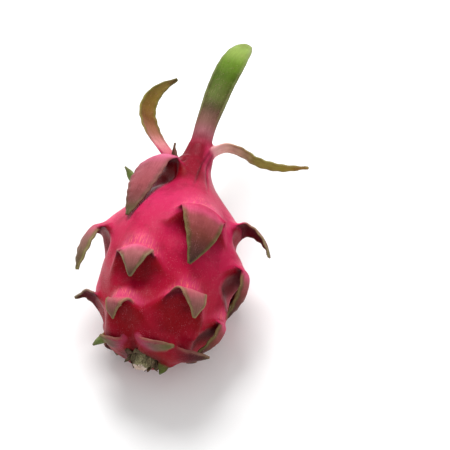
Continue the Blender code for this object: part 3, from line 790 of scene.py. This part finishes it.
def thin_out(obj, most):
    """Merges faces where the surface is flattest until no more than the given triangles are left."""
    triangles = sum(len(polygon.vertices) - 2 for polygon in obj.data.polygons)
    if triangles <= most:
        return
    decimate = obj.modifiers.new("thin_out", "DECIMATE")
    decimate.ratio = most / triangles
    graph = bpy.context.evaluated_depsgraph_get()
    mesh = bpy.data.meshes.new_from_object(obj.evaluated_get(graph))
    obj.modifiers.clear()
    obj.data = mesh


def colour_along(stops, wanted):
    """Colours at the wanted places from stops of (place, red, green, blue)."""
    places, *channels = np.transpose(stops)
    return np.stack([np.interp(wanted, places, channel) for channel in channels], axis=1)


def mix(first, second, share):
    return first + (np.asarray(second) - first) * share[:, None]


def blade_colours(blade, share, across, above):
    """A blade's colours at places on it."""
    middle, margin, rim = LOOKS[blade.scale.look]
    half_width = np.interp(share, blade.share, blade.half_width)
    to_tip = (1 - share) * blade.length
    to_edge = np.minimum(half_width - np.abs(across), to_tip)
    colour = colour_along(middle, share)
    width = np.minimum(MARGIN_WIDTH, 0.35 * half_width)
    margin_share = (1 - smoothstep(0.25 * width, width, to_edge)) * smoothstep(0.28, 0.45, share)
    colour = mix(colour, colour_along(margin, share), 0.85 * margin_share)
    # A drooping blade's underside is painted dark as shade.
    if blade.scale.droop > 0:
        under = smoothstep(0.0, -0.8, above) * (1 - smoothstep(0.85, 1.0, share))
        colour = mix(colour, UNDERSIDE_SHADE_COLOUR, UNDERSIDE_SHADE_STRENGTH * under)
    edge = (1 - smoothstep(0, RIM_WIDTH, to_edge)) * smoothstep(0.3, 0.5, share)
    return mix(colour, rim, RIM_STRENGTH * edge)


def paint(obj, body, blades):
    """Stores the colour, with its painted highlight and painted shade, and the masks that the skin's
    material reads, worked out from the shapes.
    """
    mesh = obj.data
    points = np.empty(len(mesh.vertices) * 3)
    mesh.vertices.foreach_get("co", points)
    points = points.reshape(-1, 3) / MM + touch_point()
    along, around, out = body.coordinates(points)
    swelling, hollow, crease, shade = body.relief(along, around)
    body_distance = body.distance(points)
    nearest = np.full(len(points), 6.0)
    blade_colour = np.zeros((len(points), 3))
    blade_share = np.zeros(len(points))
    grain = np.stack([np.radians(around) * out, along, np.zeros(len(points))], axis=1)
    for number, blade in enumerate(blades):
        near = blade.near(points, 4.0)
        distance, share, across, above = blade.distance(points[near])
        closer = distance < nearest[near]
        chosen = near[closer]
        nearest[chosen] = distance[closer]
        share, across, above = share[closer], across[closer], above[closer]
        blade_colour[chosen] = blade_colours(blade, share, across, above)
        blade_share[chosen] = share
        own = np.stack([across, share * blade.length, np.full(len(share), 40.0 * number)], axis=1)
        on_blade = (body_distance[chosen] > distance[closer])[:, None]
        grain[chosen] = np.where(on_blade, own, grain[chosen])
    on_blade = smoothstep(*BLADE_HEIGHT, body_distance - nearest) * smoothstep(*BLADE_START, blade_share)
    # Painted highlight on the skin's crests, and painted shade in its hollows and under the hoods.
    relief = swelling - hollow - SHADE_WEIGHT * shade
    crest_highlight = smoothstep(*CREST_RELIEF, relief) * (1 - smoothstep(*CREST_END, along))
    hollow_shade = smoothstep(*HOLLOW_RELIEF, -relief)
    neck = smoothstep(*NECK_START, along)
    # The furrows' mask, which the skin's material paints dark as shade.
    crease = crease * (1 - on_blade)
    skin = colour_along(SKIN_ALONG, along)
    neck_side = neck * smoothstep(*NECK_SIDE_START, around) * smoothstep(*NECK_SIDE_END, around)
    skin = mix(skin, NECK_SIDE_COLOUR, 0.85 * neck_side)
    # The painted highlight on the crests and the painted shade in the hollows.
    skin = mix(skin, CREST_HIGHLIGHT_COLOUR, 0.75 * crest_highlight * smoothstep(0, 28, along))
    skin = mix(skin, HOLLOW_SHADE_COLOUR, 0.85 * hollow_shade)
    # The dark rim round the socket, partly painted shade.
    skin = mix(skin, RIM_OF_SOCKET_COLOUR, 0.8 * smoothstep(20, 11, out) * smoothstep(12, 4, along))
    colour = BRIGHTNESS * mix(skin, blade_colour, on_blade)
    add_attribute(mesh, "tint", np.concatenate([colour, np.ones((len(points), 1))], axis=1))
    add_attribute(mesh, "blade", on_blade)
    add_attribute(mesh, "crest_highlight", crest_highlight * (1 - on_blade))
    add_attribute(mesh, "neck", neck * (1 - on_blade))
    add_attribute(mesh, "crease", crease)
    add_attribute(mesh, "grain", grain)


def add_attribute(mesh, name, values):
    """Stores a number, a direction or a colour for each of a mesh's points."""
    values = np.asarray(values, dtype=np.float32)
    width = values.size // len(values)
    kind, slot = {1: ("FLOAT", "value"), 3: ("FLOAT_VECTOR", "vector"), 4: ("FLOAT_COLOR", "color")}[width]
    attribute = mesh.attributes.new(name, kind, "POINT")
    attribute.data.foreach_set(slot, values.reshape(-1))


class Material:
    """A node material, with short ways to add its nodes."""

    def __init__(self, name):
        self.material = bpy.data.materials.new(name)
        self.material.use_nodes = True
        self.tree = self.material.node_tree
        self.shader = self.tree.nodes["Principled BSDF"]

    def node(self, kind, inputs=(), **settings):
        node = self.tree.nodes.new(kind)
        for name, value in settings.items():
            setattr(node, name, value)
        self.feed(node, dict(inputs))
        return node

    def feed(self, node, inputs):
        """Sets or links a node's inputs, which are given by their names or numbers."""
        for name, value in inputs.items():
            if isinstance(value, bpy.types.NodeSocket):
                self.tree.links.new(value, node.inputs[name])
            else:
                node.inputs[name].default_value = value

    def surface(self, colour, roughness, shine):
        inputs = {"Base Color": colour, "Roughness": roughness, "Specular IOR Level": shine}
        self.feed(self.shader, inputs)

    def attribute(self, name, output="Fac"):
        return self.node("ShaderNodeAttribute", attribute_name=name).outputs[output]

    def math(self, operation, first, second=0.0):
        return self.node("ShaderNodeMath", {0: first, 1: second}, operation=operation).outputs[0]

    def scaled(self, vector, scale):
        inputs = {"Vector": vector, "Scale": scale}
        return self.node("ShaderNodeMapping", inputs).outputs[0]

    def noise(self, vector, scale, detail=3.0, roughness=0.5):
        inputs = {"Vector": vector, "Scale": scale, "Detail": detail, "Roughness": roughness}
        return self.node("ShaderNodeTexNoise", inputs).outputs["Fac"]

    def between(self, value, low, high, to_low=0.0, to_high=1.0):
        inputs = {"Value": value, "From Min": low, "From Max": high, "To Min": to_low, "To Max": to_high}
        return self.node("ShaderNodeMapRange", inputs).outputs[0]

    def blend(self, share, first, second, kind="MIX"):
        inputs = {0: share, 6: first, 7: second}
        return self.node("ShaderNodeMix", inputs, data_type="RGBA", blend_type=kind).outputs[2]

    def bump(self, height, distance, strength, normal=None):
        inputs = {"Height": height, "Distance": distance, "Strength": strength}
        if normal is not None:
            inputs["Normal"] = normal
        return self.node("ShaderNodeBump", inputs).outputs[0]


# How fine the markings are, as noise scales to the metre, and how strongly the surfaces shine.
MOTTLE_SCALE = 70.0
PATCH_SCALE = 260.0
PORE_SCALE = 420.0
DOT_SCALE = 1300.0
STUB_BLOTCH_SCALE = 220.0
SKIN_SHINE = 0.07
STUB_SHINE = 0.2
FLOOR_SHINE = 0.1


def skin_material():
    """Waxy pink skin: mottled, finely speckled and fibrous along the scales, streaked over the crests
    partly as painted highlight, and with painted shade in the neck's furrows.
    """
    made = Material("dragon_fruit_skin")
    coordinates = made.node("ShaderNodeTexCoord").outputs["Object"]
    grain = made.attribute("grain", "Vector")
    blade = made.attribute("blade")
    crest_highlight = made.attribute("crest_highlight")
    neck = made.attribute("neck")
    fibres = made.noise(made.scaled(grain, (1.0, 0.09, 1.0)), 1.3, 4.0, 0.6)
    mottle = made.noise(coordinates, MOTTLE_SCALE, 5.0, 0.6)
    cells = {"Vector": coordinates, "Scale": DOT_SCALE}
    dots = made.node("ShaderNodeTexVoronoi", cells).outputs["Distance"]
    pores = made.noise(coordinates, PORE_SCALE, 3.0, 0.6)

    colour = made.attribute("tint", "Color")
    darker = made.blend(1.0, colour, (0.62, 0.50, 0.52, 1), "MULTIPLY")
    colour = made.blend(made.between(mottle, 0.48, 0.68, 0.0, 0.7), colour, darker)
    # Orange streaks over the crests, partly the skin's own streaks and partly painted highlight.
    crest_streaks_and_highlight = made.math("MULTIPLY", made.between(fibres, 0.52, 0.68), crest_highlight)
    colour = made.blend(made.math("MULTIPLY", crest_streaks_and_highlight, 0.65), colour, (0.92, 0.26, 0.13, 1))
    # Fine dark lines along the neck, and painted shade in its furrows.
    lines = made.math("MULTIPLY", made.between(fibres, 0.56, 0.66, 0.0, 0.35), neck)
    dark_lines_and_crease_shade = made.math("MAXIMUM", lines, made.math("MULTIPLY", made.attribute("crease"), 0.65))
    colour = made.blend(dark_lines_and_crease_shade, colour, (0.09, 0.003, 0.009, 1))
    along_blade = made.math("MULTIPLY", made.between(fibres, 0.42, 0.62), blade)
    colour = made.blend(made.math("MULTIPLY", along_blade, 0.35), colour, darker)
    patches = made.between(made.noise(coordinates, PATCH_SCALE, 2.0, 0.5), 0.45, 0.65, 0.03, 0.34)
    dots = made.math("MULTIPLY", made.between(dots, 0.30, 0.10), patches)
    colour = made.blend(dots, colour, (0.90, 0.34, 0.42, 1))

    skin_roughness = made.between(mottle, 0.3, 0.7, 0.30, 0.44)
    blade_roughness = made.between(fibres, 0.3, 0.7, 0.46, 0.60)
    inputs = {0: blade, 2: skin_roughness, 3: blade_roughness}
    made.surface(colour, made.node("ShaderNodeMix", inputs, data_type="FLOAT").outputs[0], SKIN_SHINE)

    fine = made.bump(pores, 0.0004, 0.30)
    fibrous = made.bump(fibres, 0.0008, 0.35, fine)
    made.feed(made.shader, {"Normal": made.bump(mottle, 0.0012, 0.25, fibrous)})
    return made.material


def stub_material():
    """Dry woody fibre, streaked dark and light along its grain, olive where it is fresher and pale on the
    broken end.
    """
    made = Material("dragon_fruit_stub")
    grain = made.attribute("grain", "Vector")
    coordinates = made.node("ShaderNodeTexCoord").outputs["Object"]
    fibres = made.noise(made.scaled(grain, (1.0, 0.12, 1.0)), 1.6, 5.0, 0.65)
    blotches = made.noise(coordinates, STUB_BLOTCH_SCALE, 4.0, 0.6)
    light = made.between(fibres, 0.38, 0.62)
    dry = made.blend(light, (0.016, 0.006, 0.004, 1), (0.13, 0.060, 0.034, 1))
    fresh = made.blend(light, (0.08, 0.065, 0.028, 1), (0.52, 0.46, 0.26, 1))
    colour = made.blend(made.attribute("fresh"), dry, fresh)
    colour = made.blend(made.between(blotches, 0.5, 0.7, 0.0, 0.4), colour, (0.13, 0.14, 0.05, 1))
    pale = made.blend(made.between(blotches, 0.35, 0.6), (0.95, 0.84, 0.78, 1), (0.60, 0.45, 0.36, 1))
    colour = made.blend(made.attribute("cut"), colour, pale)
    made.surface(colour, 0.8, STUB_SHINE)
    rough = made.bump(blotches, 0.0010, 0.5)
    made.feed(made.shader, {"Normal": made.bump(fibres, 0.0012, 0.7, rough)})
    return made.material


# The stub: a plug whose broken end lies to one side, and the papery remains of small bracts round it.
STUB_SIDES = 72
STUB_BASE = 4.15
STUB_RINGS = ((0.0, 0.0), (0.0, 7.6), (-2.0, 7.9), (-4.0, 7.4), (-5.2, 6.4), (-6.4, 5.4), (-7.8, 4.9),
              (-8.5, 4.4), (-8.4, 3.0), (-8.0, 1.6), (-7.8, 0.0))
BROKEN_END_AROUND = math.radians(-150)
BROKEN_END_SHIFT = 1.9
CLOSED = ((3.7, 8.1), (-1.5, 8.9), (-4.2, 6.6))
SPLAYED = ((3.7, 8.2), (-2.0, 9.4), (-3.6, 11.0))
LAID_BACK = ((3.7, 8.4), (-3.4, 10.4), (0.8, 16.0))
INNER = ((2.5, 5.4), (-4.5, 5.8), (-5.0, 3.0))
# Each flake's place round the stub, its width, its path of (along, out) and how fresh it is.
FLAKES = ((-128, 8.5, CLOSED, 0.1), (-84, 7.5, SPLAYED, 0.15), (-50, 6.5, CLOSED, 0.3),
          (-40, 7.5, LAID_BACK, 0.0), (-10, 8.5, LAID_BACK, 0.1), (20, 7.5, LAID_BACK, 0.0),
          (46, 6.5, CLOSED, 0.35), (76, 8.5, CLOSED, 0.2), (112, 9.5, SPLAYED, 0.15),
          (160, 9.0, CLOSED, 0.1),
          (-40, 5.0, INNER, 1.0), (-8, 5.5, INNER, 1.0), (25, 5.0, INNER, 0.9), (58, 5.0, INNER, 0.8))
FLAKE_ROWS = 13
FLAKE_COLUMNS = 9
FLAKE_THICKNESS = 0.7


def grid_faces(rows, columns, closed=False):
    """The faces of rows of points, each row closed to a ring or left open."""
    faces = []
    for row in range(rows - 1):
        for column in range(columns if closed else columns - 1):
            corner = row * columns + column
            beside = row * columns + (column + 1) % columns
            faces.append((corner, beside, beside + columns, corner + columns))
    return faces


def stub_core():
    """Points, faces and paleness of the plug."""
    shift = BROKEN_END_SHIFT * (math.cos(BROKEN_END_AROUND) * TOP + math.sin(BROKEN_END_AROUND) * SIDE)
    points = []
    cut = []
    for ring, (step, radius) in enumerate(STUB_RINGS):
        end = smoothstep(-3.0, -7.5, step)
        for side in range(STUB_SIDES):
            angle = 2 * math.pi * side / STUB_SIDES
            # Ridges run along the fibres, and the broken end is ragged.
            ridge = 0.05 * math.cos(5 * angle + 0.4) + 0.035 * math.cos(11 * angle + 0.35 * ring)
            ridge += 0.02 * math.cos(23 * angle - 0.6 * ring)
            ragged = 0.5 * math.cos(angle - 0.5) + 0.2 * math.cos(4 * angle) + 0.2 * math.sin(9 * angle)
            spot = place(STUB_BASE + step + ragged * end, math.degrees(angle), radius * (1 + ridge))
            points.append(spot + shift * end)
            cut.append(float(step < -8.2 or radius < 4 and ring > 1))
    return points, grid_faces(len(STUB_RINGS), STUB_SIDES, closed=True), cut


def flake(around, width, path):
    """Points and faces of one papery remnant beside the plug, along a path of three (along, out) places."""
    start, bend, end = np.array(path)
    points = []
    for sign in (1, -1):
        for row in range(FLAKE_ROWS):
            share = row / (FLAKE_ROWS - 1)
            along, out = (1 - share) ** 2 * start + 2 * share * (1 - share) * bend + share**2 * end
            half_width = 0.5 * width * (1 - 0.75 * share**2.2)
            for column in range(FLAKE_COLUMNS):
                beside = 2 * column / (FLAKE_COLUMNS - 1) - 1
                curl = 0.6 * beside**2 * share + 0.25 * math.sin(5 * beside + 7 * share)
                skin = 0.5 * sign * FLAKE_THICKNESS * (1 - 0.6 * share)
                ragged = 0.8 * math.sin(4.1 * beside + around) * share**3
                turn = math.degrees(beside * half_width / out)
                points.append(place(along + ragged, around + turn, out + curl + skin))
    side = FLAKE_ROWS * FLAKE_COLUMNS
    faces = []
    for quad in grid_faces(FLAKE_ROWS, FLAKE_COLUMNS):
        faces += [quad, tuple(side + number for number in reversed(quad))]
    grid = np.arange(side).reshape(FLAKE_ROWS, FLAKE_COLUMNS)
    outline = np.concatenate([grid[0], grid[1:, -1], grid[-1, -2::-1], grid[-2:0:-1, 0]]).tolist()
    for first, second in zip(outline, outline[1:] + outline[:1]):
        faces.append((second, first, side + first, side + second))
    return points, faces


def stub_piece():
    points, faces, cut = stub_core()
    fresh = [0.6] * len(points)
    for around, width, path, freshness in FLAKES:
        more_points, more_faces = flake(around, width, path)
        start = len(points)
        points += more_points
        faces += [tuple(start + number for number in face) for face in more_faces]
        cut += [0.0] * len(more_points)
        fresh += [freshness] * len(more_points)
    points = np.array(points)
    along, around, out = Body.coordinates(points)
    stub = mesh_object("stub_detail", points, faces)
    add_attribute(stub.data, "cut", cut)
    add_attribute(stub.data, "fresh", fresh)
    add_attribute(stub.data, "grain", np.stack([np.radians(around) * out, along, out], axis=1))
    stub.data.materials.append(stub_material())
    stub.data.shade_smooth()
    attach(stub, "root")
    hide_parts("stem_stub")


def fruit_piece():
    scales = seen_scales() + hidden_scales()
    blades = [Blade(scale) for scale in scales]
    body = Body(scales)
    low, high = np.array(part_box("fruit")) / MM + touch_point()
    field = Field(body, blades, low - 4, high + 4)
    points, quads = surface_net(field.values)
    points = settle(field.low + points * STEP, quads, field, body, blades)
    fruit = mesh_object("fruit_skin", points, quads)
    thin_out(fruit, MOST_TRIANGLES)
    paint(fruit, body, blades)
    fruit.data.materials.clear()
    fruit.data.materials.append(skin_material())
    fruit.data.shade_smooth()
    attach(fruit, "root")
    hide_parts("fruit")


CAMERA_PLACE = (0.1658, -0.5612, 0.8483)
CAMERA_AROUND = math.radians(12.5)
CAMERA_DOWN = math.radians(52.0)
CAMERA_LENS = 117.65

FLOOR_REACH = 4.0
WORLD_STRENGTH = 0.66
LIT_PLACE = (0, 0.05, 0.05)
# Each light's name, place and size in metres, and its power in watts.
LIGHTS = (("key", (-0.35, 0.75, 1.15), 0.8, 17.5), ("fill", (0.9, -0.5, 0.8), 0.9, 2.2))


def add_camera():
    camera = put("camera", bpy.data.cameras.new("camera"))
    camera.data.lens = CAMERA_LENS
    camera.data.sensor_width = 36.0
    camera.data.clip_start = 0.05
    right = Vector((math.cos(CAMERA_AROUND), math.sin(CAMERA_AROUND), 0))
    level = Vector((math.sin(CAMERA_AROUND), -math.cos(CAMERA_AROUND), 0))
    back = math.cos(CAMERA_DOWN) * level + math.sin(CAMERA_DOWN) * Vector((0, 0, 1))
    up = back.cross(right)
    camera.matrix_world = Matrix.Translation(CAMERA_PLACE) @ Matrix((right, up, back)).transposed().to_4x4()
    bpy.context.scene.camera = camera


def add_floor():
    mesh = bpy.data.meshes.new("floor")
    corners = [(x * FLOOR_REACH, y * FLOOR_REACH, 0) for x, y in ((-1, -1), (1, -1), (1, 1), (-1, 1))]
    mesh.from_pydata(corners, [], [(0, 1, 2, 3)])
    floor = put("floor", mesh)
    made = Material("floor_paint")
    made.surface((0.94, 0.94, 0.94, 1), 0.9, FLOOR_SHINE)
    mesh.materials.append(made.material)


def add_light(name, at, size, power):
    """A white disk light that faces the fruit."""
    light = put(name, bpy.data.lights.new(name, "AREA"))
    light.data.shape = "DISK"
    light.data.size = size
    light.data.energy = power
    direction = Vector(LIT_PLACE) - Vector(at)
    light.matrix_world = Matrix.Translation(at) @ direction.to_track_quat("-Z", "Y").to_matrix().to_4x4()


def add_lights():
    world = bpy.data.worlds.new("studio")
    world.use_nodes = True
    world.node_tree.nodes["Background"].inputs["Color"].default_value = (1, 1, 1, 1)
    world.node_tree.nodes["Background"].inputs["Strength"].default_value = WORLD_STRENGTH
    bpy.context.scene.world = world
    for name, at, size, power in LIGHTS:
        add_light(name, at, size, power)
    bpy.context.scene.view_settings.view_transform = "Standard"


def main():
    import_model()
    add_camera()
    add_floor()
    add_lights()
    fruit_piece()
    stub_piece()


main()
